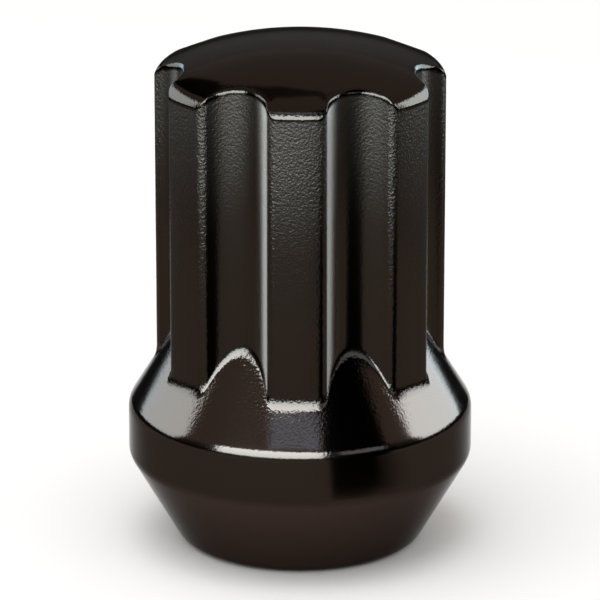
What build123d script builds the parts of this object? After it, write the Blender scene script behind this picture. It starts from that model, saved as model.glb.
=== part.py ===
"""Spline-drive wheel nut with a closed, domed end: one piece of forged and turned steel.

The nut stands on its open end. Its axis is +Z, the origin is the centre of the foot face, and the
middle of one spline crest faces -Y. Lengths are in millimetres and angles in degrees.
"""

from build123d import *
import math
import os

# Stud thread: a blind hole, drilled and tapped from the foot
THREAD_DIAMETER = 14.0
THREAD_PITCH = 1.5
DRILL_POINT_ANGLE = 118.0
END_WALL = 7.4  # solid metal between the drill point and the crown
MOUTH_MARGIN = 0.8  # lead-in countersink at the foot face, over the thread's diameter
MOUTH_ANGLE = 90.0  # across the countersink

# Cone seat, collar and the shoulder above it
FOOT_DIAMETER = 18.3  # where the seat's cone would meet the foot face
FOOT_ROUND = 1.25
SEAT_ANGLE = 60.0  # across the cone
SEAT_ROUND = 1.6
COLLAR_DIAMETER = 26.2
COLLAR_BAND = 3.9  # straight side of the collar, before its edges are rounded
SHOULDER_ROUND = 1.7
SHOULDER_ANGLE = 64.0  # across the cone

# Splined barrel and domed end
HEIGHT = 39.2
CREST_DIAMETER = 22.0
DOME_RISE = 2.4  # from the rim, before it is rounded, to the crown
RIM_ROUND = 1.35
SPLINE_COUNT = 7
FLUTE_DEPTH = 2.0
FLUTE_RADIUS = 3.0  # hollow of a flute
CREST_ROUND = 0.75  # both long edges of a crest
ROOT_FILLET = 2.4  # where a crest grows out of the shoulder

collar_radius = COLLAR_DIAMETER / 2
crest_radius = CREST_DIAMETER / 2
floor_radius = crest_radius - FLUTE_DEPTH
flute_centre = floor_radius + FLUTE_RADIUS
pitch_angle = 360 / SPLINE_COUNT


def slope(across_angle):
    """Change of radius for each millimetre along the axis, on a cone of that angle across."""
    return math.tan(math.radians(across_angle / 2))


seat_top = (collar_radius - FOOT_DIAMETER / 2) / slope(SEAT_ANGLE)
band_top = seat_top + COLLAR_BAND
barrel_foot = seat_top + COLLAR_BAND / 2


def turned(section, angle=360.0):
    """Turns a (radius, height) section around the axis, starting from +Y."""
    return revolve(Plane.YZ * section, Axis.Z, angle)


def collar():
    """Foot, cone seat, straight band and the shoulder's cone, which runs on up inside the barrel."""
    join_radius = floor_radius / 2
    join_top = band_top + (collar_radius - join_radius) / slope(SHOULDER_ANGLE)
    corners = [
        (0, 0),
        (FOOT_DIAMETER / 2, 0),
        (collar_radius, seat_top),
        (collar_radius, band_top),
        (join_radius, join_top),
        (0, join_top),
    ]
    rounds = [0, FOOT_ROUND, SEAT_ROUND, SHOULDER_ROUND, 0, 0]
    return turned(make_face(FilletPolyline(*corners, radius=rounds, close=True)))


def domed_blank():
    """Plain round barrel, from inside the collar to its rounded rim and domed end."""
    # The blank's side stands a hair outside the crests, so the rim's round meets them at a clear edge.
    blank_radius = crest_radius + RIM_ROUND / 60
    rim = (blank_radius, HEIGHT - DOME_RISE)
    dome_radius = (blank_radius**2 + DOME_RISE**2) / (2 * DOME_RISE)
    side = Polyline((0, HEIGHT), (0, barrel_foot), (blank_radius, barrel_foot), rim)
    dome = RadiusArc(rim, (0, HEIGHT), -dome_radius)
    section = make_face(side + dome)
    rim_corner = section.vertices().sort_by_distance(rim)[0]
    return turned(fillet(rim_corner, RIM_ROUND))


def spline_bar():
    """Straight bar of the spline's own section, past both ends of the barrel."""
    # The first flute lies half a pitch beside the crest that faces -Y.
    flutes = PolarLocations(flute_centre, SPLINE_COUNT, start_angle=pitch_angle / 2 - 90)
    section = Circle(crest_radius) - flutes * Circle(FLUTE_RADIUS)
    return extrude(fillet(section.vertices(), CREST_ROUND), HEIGHT + DOME_RISE)


def crest_width_angle():
    """Angle of the round top of one crest, between its two rounded edges."""
    # An edge's round touches the crest circle from inside and the flute circle from outside.
    edge_centre = crest_radius - CREST_ROUND
    reach = FLUTE_RADIUS + CREST_ROUND
    cosine = (flute_centre**2 + edge_centre**2 - reach**2) / (2 * flute_centre * edge_centre)
    return pitch_angle - 2 * math.degrees(math.acos(cosine))


def crest_roots():
    """Hollow fillets that carry the foot of each crest out onto the shoulder's cone."""
    lean = math.radians(SHOULDER_ANGLE / 2)
    corner = band_top + (collar_radius - crest_radius) / slope(SHOULDER_ANGLE)
    run = ROOT_FILLET * math.tan(lean / 2)
    upper = (crest_radius, corner + run)
    lower = (crest_radius + run * math.sin(lean), corner - run * math.cos(lean))
    inner = (crest_radius + floor_radius) / 2
    inside = Polyline(lower, (inner, lower[1]), (inner, upper[1]), upper)
    hollow = RadiusArc(upper, lower, -ROOT_FILLET)
    root = turned(make_face(inside + hollow), crest_width_angle())
    # Turning starts from +Y, so half a turn less half a crest puts the first root at -Y.
    return PolarLocations(0, SPLINE_COUNT, start_angle=180 - crest_width_angle() / 2) * root


def stud_bore():
    """Blind hole at the thread's minor diameter, with its countersunk mouth and drill point."""
    # A metric thread's triangle is this tall, and five eighths of it are cut away on each side.
    triangle = THREAD_PITCH * math.sqrt(3) / 2
    bore_radius = THREAD_DIAMETER / 2 - triangle * 5 / 8
    mouth_radius = (THREAD_DIAMETER + MOUTH_MARGIN) / 2
    mouth_depth = (mouth_radius - bore_radius) / slope(MOUTH_ANGLE)
    point_top = HEIGHT - END_WALL
    bore_top = point_top - bore_radius / slope(DRILL_POINT_ANGLE)
    # The countersink's cone is carried on below the foot face, for a clean cut.
    outline = Polyline(
        (0, -mouth_depth),
        (2 * mouth_radius - bore_radius, -mouth_depth),
        (bore_radius, mouth_depth),
        (bore_radius, bore_top),
        (0, point_top),
        close=True,
    )
    return turned(make_face(outline))


def lug_nut():
    barrel = domed_blank() & spline_bar()
    nut = barrel + collar() + crest_roots()
    return nut - stud_bore()


os.makedirs("parts", exist_ok=True)
export_step(lug_nut(), "parts/lug_nut.step")
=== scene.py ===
"""Looks of the spline lug nut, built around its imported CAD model: skin, plating, studio and camera.

Lengths are in millimetres and are turned into metres where Blender takes them. Named angles are in
degrees, and angles that are worked out from them are in radians.
"""

import bpy
import bmesh
import math
from collections import namedtuple
import numpy as np
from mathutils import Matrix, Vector


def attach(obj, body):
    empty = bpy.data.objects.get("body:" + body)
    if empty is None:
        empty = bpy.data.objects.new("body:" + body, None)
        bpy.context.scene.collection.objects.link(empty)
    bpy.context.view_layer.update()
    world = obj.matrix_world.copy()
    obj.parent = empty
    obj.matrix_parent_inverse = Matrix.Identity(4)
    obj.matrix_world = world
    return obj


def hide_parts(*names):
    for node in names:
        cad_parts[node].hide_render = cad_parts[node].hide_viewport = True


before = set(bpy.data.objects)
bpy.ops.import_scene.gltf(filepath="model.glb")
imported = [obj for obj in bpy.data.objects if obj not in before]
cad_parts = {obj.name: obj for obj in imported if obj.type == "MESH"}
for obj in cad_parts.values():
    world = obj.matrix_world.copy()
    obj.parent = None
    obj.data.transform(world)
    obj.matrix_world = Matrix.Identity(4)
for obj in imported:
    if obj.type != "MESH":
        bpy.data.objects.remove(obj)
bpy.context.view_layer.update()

MM = 0.001

# Sizes of the nut, as in the CAD model
HEIGHT = 39.2
CREST_RADIUS = 11.0
SPLINE_COUNT = 7
FLUTE_DEPTH = 2.0
FLUTE_RADIUS = 3.0
CREST_ROUND = 0.75
DOME_RISE = 2.4
RIM_ROUND = 1.35
BLANK_RADIUS = CREST_RADIUS + RIM_ROUND / 60  # the domed blank stands a hair outside the crests
ROOT_FILLET = 2.4  # the skin has it at the foot of the flutes too
COLLAR_RADIUS = 13.1
COLLAR_BAND = 3.9
SHOULDER_ANGLE = 32.0
SHOULDER_ROUND = 1.7
SEAT_ANGLE = 30.0
SEAT_ROUND = 1.6
FOOT_RADIUS = 9.15
FOOT_ROUND = 1.25
THREAD_RADIUS = 7.0
THREAD_PITCH = 1.5
MOUTH_RADIUS = 7.4
END_WALL = 7.4
DRILL_POINT_ANGLE = 59.0

# Only the skin has these: the round that plating gives a flute's upper edge, and the thread's run-out
ARCH_ROUND = 0.45
THREAD_TOP = 25.0
THREAD_RUN_OUT = 2.0

# Columns of the mesh, in half a pitch of the spline, and in the bore
CREST_STEPS = 6
EDGE_STEPS = 8
FLUTE_STEPS = 10
BORE_SHARE = 3  # outside columns to each column of the bore

# Rows of the mesh, from the crown down the outside, and up the thread
DOME_FLAT = 8.6  # the dome's rings are round inside this radius, and follow the spline outside it
DOME_ROWS = 14
RIM_ROWS = 10
ARCH_ROWS = 5
WALL_ROWS = 70
ROOT_ROWS = 6
CONE_ROWS = 10
ARC_ROWS = 8  # each for the rounds of shoulder, seat and foot
BAND_ROWS = 3
SEAT_ROWS = 8
ROWS_PER_PITCH = 12
SHARP_ANGLE = 40.0  # edges that turn more than this stay crisp

# The spline's own finish runs down to the middle of the root fillets
WALL_FIRST = DOME_ROWS + RIM_ROWS + ARCH_ROWS
WALL_LAST = WALL_FIRST + WALL_ROWS + ROOT_ROWS // 2

# Finish down the outside, in bands of rows: shares of orange peel, haze and the seat's tone at both ends
FINISH = [
    (DOME_ROWS, (0.0, 0.0, 0.1), (0.0, 0.0, 0.1)),
    (RIM_ROWS, (0.0, 0.0, 0.1), (0.25, 0.0, 0.1)),
    (ARCH_ROWS, (0.2, 0.0, 0.0), (0.2, 0.0, 0.0)),
    (WALL_ROWS // 2, (0.6, 1.0, 0.0), (0.24, 0.4, 0.0)),
    (WALL_ROWS // 2, (0.24, 0.4, 0.0), (0.12, 0.2, 0.0)),
    (ROOT_ROWS, (0.2, 0.2, 0.0), (0.2, 0.0, 0.6)),
    (CONE_ROWS, (0.18, 0.05, 0.6), (0.04, 0.05, 0.6)),
    (ARC_ROWS, (0.1, 0.05, 0.6), (0.0, 0.2, 0.1)),
    (BAND_ROWS, (0.0, 0.2, 0.1), (0.0, 0.2, 0.1)),
    (ARC_ROWS, (0.0, 0.2, 0.1), (0.0, 0.2, 1.0)),
    (SEAT_ROWS + ARC_ROWS, (0.0, 0.2, 1.0), (0.0, 0.2, 1.0)),
]

# Orange peel of the plating: grains in each millimetre, depth, and how many times as much each face has
PEEL_GRAIN = 5.2
PEEL_DEPTH = 0.1
CREST_PEEL = 1.0
EDGE_PEEL = 1.7
FLUTE_PEEL = 0.65
# Plating on the forged barrel and on the turned seat; the seat's lighter tone is partly the turned
# finish and partly painted light that brightens the shaded floor the seat mirrors
BARREL_COLOUR = (0.0188, 0.0132, 0.0098, 1)
SEAT_COLOUR = (0.042, 0.027, 0.021, 1)
GRAZING_TINT = (0.56, 0.56, 0.56, 1)  # of what the plating mirrors at a low angle
SMOOTH_ROUGHNESS = 0.09
HAZY_ROUGHNESS = 0.42
# Rough flanks of the flutes, with a painted sheen that turns their colour pale at a low angle: from this
# share of an edge's round to this share of half a flute
FLANK_START = 0.6
FLANK_REACH = 0.7
# Painted sheen: the colour a flank takes on at a low angle
FLANK_PAINTED_SHEEN = (0.235, 0.178, 0.147, 1)
FLANK_ROUGHNESS = 0.65
# Slants at which a flank's painted sheen starts and is strongest, where 0 faces the eye and 1 is edge on
SHEEN_PAINT_FROM = 0.25
SHEEN_PAINT_TO = 0.70

seat_top = (COLLAR_RADIUS - FOOT_RADIUS) / math.tan(math.radians(SEAT_ANGLE))
band_top = seat_top + COLLAR_BAND
drill_tip = HEIGHT - END_WALL
# A metric thread's triangle is pitch x sqrt(3) / 2 tall, and five eighths of it are cut away.
bore_radius = THREAD_RADIUS - THREAD_PITCH * math.sqrt(3) / 2 * 5 / 8

# A column of the skin: its angle from the front crest's middle, its radius on the spline, and its shares
# of orange peel and of a rough flank with painted sheen
Column = namedtuple("Column", "angle radius peel flank")


def spline_columns():
    """Columns all round the spline: crest, edge and half a flute, mirrored, then repeated."""
    pitch = 2 * math.pi / SPLINE_COUNT
    flute_centre = CREST_RADIUS - FLUTE_DEPTH + FLUTE_RADIUS
    edge_centre = CREST_RADIUS - CREST_ROUND
    reach = FLUTE_RADIUS + CREST_ROUND
    cosine = (flute_centre**2 + edge_centre**2 - reach**2) / (2 * flute_centre * edge_centre)
    turn = math.acos(cosine)
    half = []
    for k in range(CREST_STEPS):
        half.append(Column((pitch / 2 - turn) * k / CREST_STEPS, CREST_RADIUS, CREST_PEEL, 0.0))

    def add(x, y, peel, flank):
        """Adds a point that was found about the flute's middle, turned into the crest's angle."""
        half.append(Column(pitch / 2 - math.atan2(y, x), math.hypot(x, y), peel, flank))

    edge_x, edge_y = edge_centre * math.cos(turn), edge_centre * math.sin(turn)
    inner = math.atan2(-edge_y, flute_centre - edge_x)
    for k in range(EDGE_STEPS):
        share = k / EDGE_STEPS
        a = turn + (inner - turn) * share
        peel = EDGE_PEEL if k else CREST_PEEL
        flank = max((share - FLANK_START) / (1 - FLANK_START), 0.0)
        add(edge_x + CREST_ROUND * math.cos(a), edge_y + CREST_ROUND * math.sin(a), peel, flank)
    for k in range(FLUTE_STEPS + 1):
        share = k / FLUTE_STEPS
        a = inner * (1 - share)
        # A flank is rough, with painted sheen, all over the upper half of its reach, and fades over the
        # lower half.
        flank = min(2 * max(1 - share / FLANK_REACH, 0.0), 1.0)
        add(flute_centre - FLUTE_RADIUS * math.cos(a), -FLUTE_RADIUS * math.sin(a), FLUTE_PEEL, flank)
    whole = half + [c._replace(angle=pitch - c.angle) for c in half[-2:0:-1]]
    return [c._replace(angle=c.angle + pitch * n) for n in range(SPLINE_COUNT) for c in whole]


class Dome:
    """Profile of the domed end and its rounded rim, by the lean of its normal from the axis."""

    radius = (BLANK_RADIUS**2 + DOME_RISE**2) / (2 * DOME_RISE)
    centre = HEIGHT - radius
    rim_r = BLANK_RADIUS - RIM_ROUND
    rim_z = centre + math.sqrt((radius - RIM_ROUND) ** 2 - rim_r**2)
    join = math.asin(rim_r / (radius - RIM_ROUND))

    @classmethod
    def point(cls, lean):
        """Radius and height of the point whose normal has that lean."""
        if lean < cls.join:
            return cls.radius * math.sin(lean), cls.centre + cls.radius * math.cos(lean)
        return cls.rim_r + RIM_ROUND * math.sin(lean), cls.rim_z + RIM_ROUND * math.cos(lean)

    @classmethod
    def lean_at(cls, r):
        """Lean of the normal at that radius."""
        if r < cls.point(cls.join)[0]:
            return math.asin(r / cls.radius)
        return math.asin((r - cls.rim_r) / RIM_ROUND)

    @classmethod
    def back_along(cls, lean, length):
        """Lean of the normal at that length of profile nearer the axis."""
        on_rim = max(lean - cls.join, 0.0) * RIM_ROUND
        if length <= on_rim:
            return lean - length / RIM_ROUND
        return min(lean, cls.join) - (length - on_rim) / cls.radius


def arc(centre_r, centre_z, radius, first, last, steps):
    """Points of an arc after its first, by the lean of the normal from the axis, in degrees."""
    leans = [math.radians(first + (last - first) * k / steps) for k in range(1, steps + 1)]
    return [(centre_r + radius * math.sin(a), centre_z + radius * math.cos(a)) for a in leans]


def line(start, end, steps):
    """Points of a straight run after its start."""
    return [
        (start[0] + (end[0] - start[0]) * k / steps, start[1] + (end[1] - start[1]) * k / steps)
        for k in range(1, steps + 1)
    ]


def turned_profile():
    """Where the shoulder's round starts, and the profile from there to the foot's flat ring."""
    shoulder, seat = math.radians(SHOULDER_ANGLE), math.radians(SEAT_ANGLE)
    shoulder_r = COLLAR_RADIUS - SHOULDER_ROUND
    shoulder_z = band_top - SHOULDER_ROUND * math.tan(shoulder / 2)
    seat_z = seat_top + SEAT_ROUND * math.tan(seat / 2)
    foot_r = FOOT_RADIUS - FOOT_ROUND * math.tan(math.radians(45 - SEAT_ANGLE / 2))
    start = (
        shoulder_r + SHOULDER_ROUND * math.cos(shoulder),
        shoulder_z + SHOULDER_ROUND * math.sin(shoulder),
    )
    seat_end = (foot_r + FOOT_ROUND * math.cos(seat), FOOT_ROUND - FOOT_ROUND * math.sin(seat))
    rows = arc(shoulder_r, shoulder_z, SHOULDER_ROUND, 90 - SHOULDER_ANGLE, 90, ARC_ROWS)
    rows += line(rows[-1], (COLLAR_RADIUS, seat_z), BAND_ROWS)
    rows += arc(COLLAR_RADIUS - SEAT_ROUND, seat_z, SEAT_ROUND, 90, 90 + SEAT_ANGLE, ARC_ROWS)
    rows += line(rows[-1], seat_end, SEAT_ROWS)
    rows += arc(foot_r, FOOT_ROUND, FOOT_ROUND, 90 + SEAT_ANGLE, 180, ARC_ROWS)
    return start, rows


def barrel_profile(r, shoulder_start):
    """Profile of one column: dome, rim, upper edge, wall, root fillet and the shoulder's cone."""
    flat_lean = Dome.lean_at(DOME_FLAT)
    lean = Dome.lean_at(r)
    cut = ARCH_ROUND * math.tan((math.pi / 2 - lean) / 2)
    rim_lean = Dome.back_along(lean, cut)
    wall_top = Dome.point(lean)[1] - cut
    slope = math.radians(SHOULDER_ANGLE)
    corner = band_top + (COLLAR_RADIUS - r) / math.tan(slope)
    wall_foot = corner + ROOT_FILLET * math.tan(slope / 2)

    leans = [flat_lean * k / DOME_ROWS for k in range(1, DOME_ROWS + 1)]
    leans += [flat_lean + (rim_lean - flat_lean) * k / RIM_ROWS for k in range(1, RIM_ROWS + 1)]
    rows = [Dome.point(a) for a in leans]
    rows += arc(r - ARCH_ROUND, wall_top, ARCH_ROUND, math.degrees(lean), 90, ARCH_ROWS)
    rows += line((r, wall_top), (r, wall_foot), WALL_ROWS)
    turns = [slope * k / ROOT_ROWS for k in range(1, ROOT_ROWS + 1)]
    rows += [
        (r + ROOT_FILLET * (1 - math.cos(t)), wall_foot - ROOT_FILLET * math.sin(t)) for t in turns
    ]
    return rows + line(rows[-1], shoulder_start, CONE_ROWS)


def thread_radius(angle, z):
    """Wall of the tapped hole: a right-hand thread, cut back by its countersink and run out above."""
    phase = (z / THREAD_PITCH - angle / (2 * math.pi)) % 1.0
    from_root = abs(phase - 0.5) * THREAD_PITCH
    # A metric thread's root is flat over an eighth of the pitch, and its flanks rise at 60 degrees.
    cut = THREAD_RADIUS - max(from_root - THREAD_PITCH / 16, 0.0) * math.sqrt(3)
    run_out = min(max((THREAD_TOP - z) / THREAD_RUN_OUT, 0.0), 1.0)
    wall = bore_radius + (max(cut, bore_radius) - bore_radius) * run_out
    return max(wall, MOUTH_RADIUS - z)


def place(angle, r, z):
    """A point of the skin, in metres; the front crest's middle faces -Y."""
    return (r * math.sin(angle) * MM, -r * math.cos(angle) * MM, z * MM)


def outside_rings(columns):
    """Rings of points from round the crown down to the foot's flat ring."""
    shoulder_start, turned = turned_profile()
    profiles = [barrel_profile(c.radius, shoulder_start) + turned for c in columns]
    return [
        [place(c.angle, *profile[j]) for c, profile in zip(columns, profiles)]
        for j in range(len(profiles[0]))
    ]


def bore_rings(columns):
    """Rings of points from the hole's mouth up to the edge of its drill point."""
    bore_top = drill_tip - bore_radius / math.tan(math.radians(DRILL_POINT_ANGLE))
    steps = round(THREAD_TOP / THREAD_PITCH * ROWS_PER_PITCH)
    heights = [THREAD_TOP * k / steps for k in range(steps + 1)] + [bore_top]
    angles = [c.angle for c in columns[::BORE_SHARE]]
    return [[place(a, thread_radius(a, z), z) for a in angles] for z in heights]


def quads(first, rings, count):
    """Faces between closed rings of that many points each, from the first point's number on."""
    faces = []
    for ring in range(first, first + (rings - 1) * count, count):
        for i in range(count):
            k = (i + 1) % count
            faces.append((ring + i, ring + count + i, ring + count + k, ring + k))
    return faces


def nut_mesh():
    """The whole skin as one closed mesh, with the plating's finish on its vertices."""
    columns = spline_columns()
    outside, bore = outside_rings(columns), bore_rings(columns)
    count, bore_count = len(columns), len(bore[0])
    points = [place(0, 0, HEIGHT)]
    points += [p for ring in outside + bore for p in ring]
    points.append(place(0, 0, drill_tip))
    bore_first = 1 + len(outside) * count
    foot = bore_first - count
    tip = len(points) - 1
    bore_last = tip - bore_count

    faces = [(0, 1 + i, 1 + (i + 1) % count) for i in range(count)]
    faces += quads(1, len(outside), count)
    for i in range(bore_count):
        rim = [foot + (i * BORE_SHARE + k) % count for k in range(BORE_SHARE + 1)]
        faces.append((*rim, bore_first + (i + 1) % bore_count, bore_first + i))
    faces += quads(bore_first, len(bore), bore_count)
    faces += [(bore_last + i, tip, bore_last + (i + 1) % bore_count) for i in range(bore_count)]

    mesh = bpy.data.meshes.new("lug_nut_skin")
    mesh.from_pydata(points, [], faces)
    work = bmesh.new()
    work.from_mesh(mesh)
    bmesh.ops.recalc_face_normals(work, faces=work.faces)
    work.to_mesh(mesh)
    work.free()
    mesh.shade_smooth()
    mesh.set_sharp_from_angle(angle=math.radians(SHARP_ANGLE))
    mark_finish(mesh, columns)
    return mesh


def mark_finish(mesh, columns):
    """Writes the shares of peel, haze, seat tone and rough flank with painted sheen on the outside's
    vertices.
    """
    count = len(columns)
    peel_round = np.array([c.peel for c in columns])
    flank_round = np.array([c.flank for c in columns])
    names = ("peel", "haze", "turned", "flank")
    shares = {name: np.zeros(len(mesh.vertices), dtype=np.float32) for name in names}
    finish = np.vstack([np.linspace(first, last, rows) for rows, first, last in FINISH])
    for j, (peel, haze, turned) in enumerate(finish):
        ring = slice(1 + j * count, 1 + (j + 1) * count)
        on_spline = WALL_FIRST <= j < WALL_LAST
        shares["peel"][ring] = peel * peel_round if on_spline else peel
        shares["haze"][ring] = haze
        shares["turned"][ring] = turned
        shares["flank"][ring] = flank_round if on_spline else 0.0
    for name, share in shares.items():
        mesh.attributes.new(name, "FLOAT", "POINT").data.foreach_set("value", share)


def node(tree, kind, inputs=None, **properties):
    """A new shader node with its properties and inputs set."""
    made = tree.nodes.new(kind)
    for key, value in properties.items():
        setattr(made, key, value)
    for key, value in (inputs or {}).items():
        made.inputs[key].default_value = value
    return made


def new_material(name):
    """A new material, with its nodes and its shader."""
    material = bpy.data.materials.new(name)
    material.use_nodes = True
    return material, material.node_tree, material.node_tree.nodes["Principled BSDF"]


def plating():
    """Glossy brown-black plating: orange peel on the forged faces, rough flanks beside the crests with a
    painted sheen.
    """
    material, tree, shader = new_material("black_plating")
    link = tree.links.new
    shader.inputs["Metallic"].default_value = 1.0
    shader.inputs["Specular Tint"].default_value = GRAZING_TINT
    peel, haze, turned, flank = (
        node(tree, "ShaderNodeAttribute", attribute_name=name).outputs["Fac"]
        for name in ("peel", "haze", "turned", "flank")
    )

    where = node(tree, "ShaderNodeTexCoord").outputs["Object"]
    grain = node(tree, "ShaderNodeTexNoise", {"Scale": PEEL_GRAIN / MM})
    bump = node(tree, "ShaderNodeBump", {"Distance": PEEL_DEPTH * MM})
    link(where, grain.inputs["Vector"])
    link(grain.outputs["Fac"], bump.inputs["Height"])
    link(peel, bump.inputs["Strength"])
    link(bump.outputs["Normal"], shader.inputs["Normal"])

    # Painted sheen: the flanks' colour is mixed towards a pale one as they turn edge on to the eye
    slant = node(tree, "ShaderNodeLayerWeight").outputs["Facing"]
    span = {"From Min": SHEEN_PAINT_FROM, "From Max": SHEEN_PAINT_TO}
    sheen_paint_ramp = node(tree, "ShaderNodeMapRange", span, interpolation_type="SMOOTHSTEP")
    painted_sheen = node(tree, "ShaderNodeMath", operation="MULTIPLY")
    link(slant, sheen_paint_ramp.inputs["Value"])
    link(flank, painted_sheen.inputs[0])
    link(sheen_paint_ramp.outputs["Result"], painted_sheen.inputs[1])

    # Seat tone: partly painted light that brightens the shaded floor the seat mirrors
    base = node(tree, "ShaderNodeValToRGB")
    base.color_ramp.elements[0].color = BARREL_COLOUR
    base.color_ramp.elements[1].color = SEAT_COLOUR
    colour = node(tree, "ShaderNodeMix", {"B": FLANK_PAINTED_SHEEN}, data_type="RGBA")
    link(turned, base.inputs["Fac"])
    link(painted_sheen.outputs[0], colour.inputs["Factor"])
    link(base.outputs["Color"], colour.inputs["A"])
    link(colour.outputs["Result"], shader.inputs["Base Color"])

    span = {"To Min": SMOOTH_ROUGHNESS, "To Max": HAZY_ROUGHNESS}
    plain = node(tree, "ShaderNodeMapRange", span)
    rough = node(tree, "ShaderNodeMapRange", {"To Max": FLANK_ROUGHNESS})
    link(haze, plain.inputs["Value"])
    link(painted_sheen.outputs[0], rough.inputs["Value"])
    link(plain.outputs["Result"], rough.inputs["To Min"])
    link(rough.outputs["Result"], shader.inputs["Roughness"])
    return material


def around(azimuth, distance, z):
    """Place at that azimuth from the front, positive to the right of the photograph."""
    a = math.radians(azimuth)
    return (distance * math.sin(a), -distance * math.cos(a), z)


WORLD_COLOUR = (0.81, 0.78, 0.75, 1)
FLOOR_SIZE = 6000.0
FLOOR_DROP = 0.02  # below the foot face

# Paper of the floor: white round a middle behind the nut, then darkened to a pale grey far off, a
# painted falloff of the light
PAPER_MIDDLE = (0, 60, 0)
PAPER_WHITE = 0.92
PAPER_WHITE_REACH = 120.0
PAPER_FALLOFF_SHADE = 0.55
PAPER_FALLOFF_REACH = 320.0

# Lamps, each with the brightness of its face, where 1 is a white surface's own
Lamp = namedtuple("Lamp", "name place aim width height brightness colour")
COOL = (0.70, 1.03, 1.26)
NUT_MIDDLE = (0, 0, 20)
KEY_LAMP = Lamp("key", (-60, -60, 400), (0, 0, 0), 360, 360, 2.2, (0.97, 1.0, 1.03))
GLOSS_LAMPS = [
    Lamp("front", (-65, -170, 76), (-20, 0, 37), 260, 106, 32.0, COOL),
    Lamp("front_right", around(42, 110, 48), NUT_MIDDLE, 60, 30, 3.0, COOL),
    Lamp("sky", around(-3, 260, 285), (0, 0, 12), 190, 60, 3.8, (0.52, 0.9, 1.42)),
    Lamp("left", around(-116, 135, 64), NUT_MIDDLE, 165, 78, 14.0, COOL),
    Lamp("right", around(116, 135, 64), NUT_MIDDLE, 165, 78, 23.0, COOL),
]

# Dark card on the floor, front right, as (azimuth, distance, shade): black, and paler to the right
FLOOR_CARD = [
    (44, 30, 0.0), (18, 30, 0.0), (18, 170, 0.0), (58, 170, 0.0), (58, 55, 0.0), (44, 45, 0.0),
    (66, 45, 0.9), (66, 30, 0.9),
]
FLOOR_CARD_FACES = [(0, 1, 2, 3, 4, 5), (5, 6, 7, 0)]
FLOOR_CARD_LIFT = 0.5
# Black card that stands front right, between two azimuths
WALL_CARD_LEFT = 18
WALL_CARD_RIGHT = 64
WALL_CARD_DISTANCE = 175
WALL_CARD_HEIGHT = 340
# Dark card on the floor behind the nut
BACK_CARD_REACH = 300  # to each side
BACK_CARD_NEAR = 70
BACK_CARD_FAR = 260
BACK_CARD_LIFT = 0.6
BACK_CARD_SHADE = 0.03
# Dark wedge above and behind, as (x, y, shade): black to the left, and paler to the right
ABOVE_CARD = [
    (80, 192, 0.5), (0, 208, 0.35), (-115, 296, 0.15), (-260, 640, 0.0), (-280, 60, 0.0),
    (-120, 180, 0.1), (-20, 168, 0.3),
]
ABOVE_CARD_HEIGHT = 350
# Dark rim round the white floor, rising to a wall that pales upwards, as rings of (radius, z, shade)
SURROUND_RINGS = [(130, 0.5, 0.03), (400, 0.5, 0.04), (400, 40, 0.04), (400, 230, 0.75)]
SURROUND_SIDES = 48


def softbox(lamp, for_gloss):
    """A rectangular lamp that lights either what is glossy or what is matt, and stays out of sight."""
    data = bpy.data.lights.new(lamp.name, "AREA")
    data.shape = "RECTANGLE"
    data.size = lamp.width * MM
    data.size_y = lamp.height * MM
    data.energy = lamp.brightness * math.pi * data.size * data.size_y
    data.color = lamp.colour
    made = bpy.data.objects.new(lamp.name, data)
    bpy.context.scene.collection.objects.link(made)
    made.location = Vector(lamp.place) * MM
    made.rotation_euler = (Vector(lamp.aim) - Vector(lamp.place)).to_track_quat("-Z", "Y").to_euler()
    made.visible_camera = False
    made.visible_glossy = for_gloss
    made.visible_diffuse = not for_gloss


def dark_card(name, corners, faces=None):
    """A card that only the nut's gloss shows, from corners (x, y, z, shade of grey)."""
    mesh = bpy.data.meshes.new(name)
    places = [(x * MM, y * MM, z * MM) for x, y, z, _ in corners]
    mesh.from_pydata(places, [], faces or [tuple(range(len(corners)))])
    shades = [shade for *_, shade in corners]
    mesh.attributes.new("shade", "FLOAT", "POINT").data.foreach_set("value", shades)
    made = bpy.data.objects.new(name, mesh)
    bpy.context.scene.collection.objects.link(made)
    material, tree, shader = new_material(name)
    shader.inputs["Specular IOR Level"].default_value = 0.0
    shade = node(tree, "ShaderNodeAttribute", attribute_name="shade")
    tree.links.new(shade.outputs["Fac"], shader.inputs["Base Color"])
    mesh.materials.append(material)
    made.visible_camera = False
    made.visible_diffuse = False
    made.visible_shadow = False


def dark_cards():
    """Cards that give the black patches of the photograph, and a dark surround for the other sides."""
    floor = [(*around(a, r, FLOOR_CARD_LIFT), shade) for a, r, shade in FLOOR_CARD]
    dark_card("dark_floor", floor, FLOOR_CARD_FACES)
    wall = [
        (WALL_CARD_LEFT, 0), (WALL_CARD_RIGHT, 0),
        (WALL_CARD_RIGHT, WALL_CARD_HEIGHT), (WALL_CARD_LEFT, WALL_CARD_HEIGHT),
    ]
    dark_card("dark_wall", [(*around(a, WALL_CARD_DISTANCE, z), 0.0) for a, z in wall])
    back = [
        (-BACK_CARD_REACH, BACK_CARD_NEAR), (BACK_CARD_REACH, BACK_CARD_NEAR),
        (BACK_CARD_REACH, BACK_CARD_FAR), (-BACK_CARD_REACH, BACK_CARD_FAR),
    ]
    dark_card("dark_back", [(x, y, BACK_CARD_LIFT, BACK_CARD_SHADE) for x, y in back])
    dark_card("dark_above", [(x, y, ABOVE_CARD_HEIGHT, shade) for x, y, shade in ABOVE_CARD])
    surround = [
        (*around(360 * k / SURROUND_SIDES, r, z), shade)
        for r, z, shade in SURROUND_RINGS
        for k in range(SURROUND_SIDES)
    ]
    dark_card("dark_surround", surround, quads(0, len(SURROUND_RINGS), SURROUND_SIDES))


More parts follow.
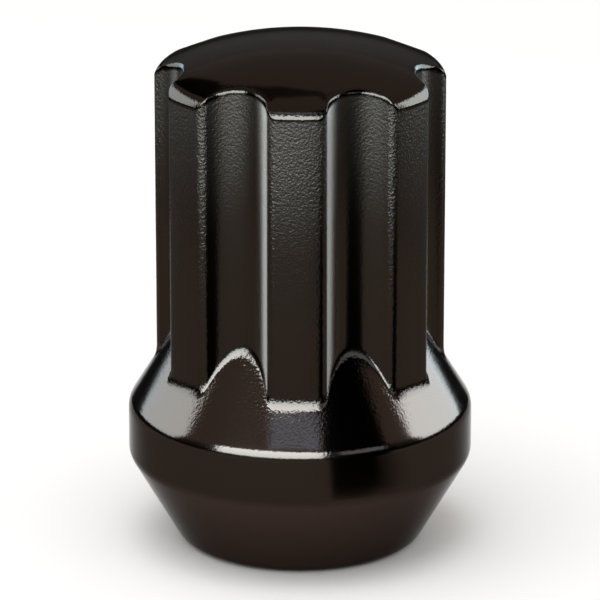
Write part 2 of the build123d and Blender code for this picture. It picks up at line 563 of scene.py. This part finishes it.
def paper():
    """Matt white paper round the nut, darkened to a pale grey far from it: a painted falloff of the
    light.
    """
    material, tree, shader = new_material("paper")
    shader.inputs["Specular IOR Level"].default_value = 0.0
    where = node(tree, "ShaderNodeTexCoord").outputs["Object"]
    middle = [v * MM for v in PAPER_MIDDLE]
    reach = node(tree, "ShaderNodeVectorMath", {1: middle}, operation="DISTANCE")
    span = {
        "From Min": PAPER_WHITE_REACH * MM,
        "From Max": PAPER_FALLOFF_REACH * MM,
        "To Min": PAPER_WHITE,
        "To Max": PAPER_FALLOFF_SHADE,
    }
    shade = node(tree, "ShaderNodeMapRange", span, interpolation_type="SMOOTHSTEP")
    tree.links.new(where, reach.inputs[0])
    tree.links.new(reach.outputs["Value"], shade.inputs["Value"])
    tree.links.new(shade.outputs["Result"], shader.inputs["Base Color"])
    return material


def studio():
    """Pale floor and surroundings, a soft key lamp, and lamps and dark cards for the nut's gloss."""
    world = bpy.data.worlds.new("studio")
    world.use_nodes = True
    world.node_tree.nodes["Background"].inputs["Color"].default_value = WORLD_COLOUR
    bpy.context.scene.world = world
    bpy.ops.mesh.primitive_plane_add(size=FLOOR_SIZE * MM, location=(0, 0, -FLOOR_DROP * MM))
    floor = bpy.context.object
    floor.name = "floor"
    floor.data.materials.append(paper())
    softbox(KEY_LAMP, for_gloss=False)
    for lamp in GLOSS_LAMPS:
        softbox(lamp, for_gloss=True)
    dark_cards()


# Camera, fitted to the photograph's outline
VIEW_ELEVATION = 18.5
VIEW_AZIMUTH = 1.2
VIEW_DISTANCE = 389.75
VIEW_LENS = 307.6
VIEW_SENSOR = 36.0
VIEW_AIM = (0.0, 0.0, 18.65)


def camera():
    """The photograph's own view of the nut."""
    data = bpy.data.cameras.new("camera")
    data.lens = VIEW_LENS
    data.sensor_width = VIEW_SENSOR
    made = bpy.data.objects.new("camera", data)
    bpy.context.scene.collection.objects.link(made)
    a, e = math.radians(VIEW_AZIMUTH), math.radians(VIEW_ELEVATION)
    back = Vector((math.sin(a) * math.cos(e), -math.cos(a) * math.cos(e), math.sin(e)))
    made.location = (Vector(VIEW_AIM) + back * VIEW_DISTANCE) * MM
    made.rotation_euler = (-back).to_track_quat("-Z", "Y").to_euler()
    bpy.context.scene.camera = made


skin = bpy.data.objects.new("lug_nut_skin", nut_mesh())
bpy.context.scene.collection.objects.link(skin)
skin.data.materials.append(plating())
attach(skin, "root")
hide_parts("lug_nut")

studio()
camera()
bpy.context.scene.view_settings.view_transform = "Standard"
